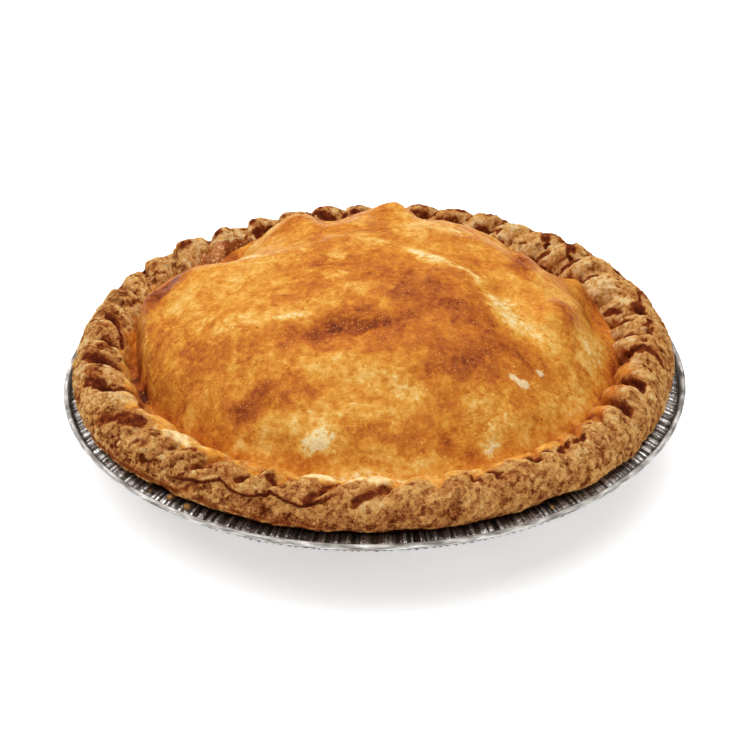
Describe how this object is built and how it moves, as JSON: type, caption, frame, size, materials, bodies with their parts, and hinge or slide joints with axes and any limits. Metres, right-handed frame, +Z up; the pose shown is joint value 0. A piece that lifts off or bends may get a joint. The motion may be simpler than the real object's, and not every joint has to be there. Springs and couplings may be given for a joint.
{
  "type": "apple pie in a foil tin",
  "caption": "Whole round baked pie with a domed golden lid and a rope-crimped pastry edge, filling a shallow foil tin with sloping pleated walls and a rolled rim.",
  "frame": {"origin": "middle of the flat base of the tin, on the surface that it stands on", "axes": "+Z up through the middle of the lid, -Y towards the front as pictured, +X to the right"},
  "size_m": [0.2442, 0.2442, 0.0732],
  "materials": {
    "foil": "bright pleated kitchen foil",
    "pastry": "baked golden shortcrust with browned patches, slightly glossy on the lid"
  },
  "bodies": {
    "root": {"foil_tin": "foil", "pie": "pastry"}
  },
  "joints": []
}
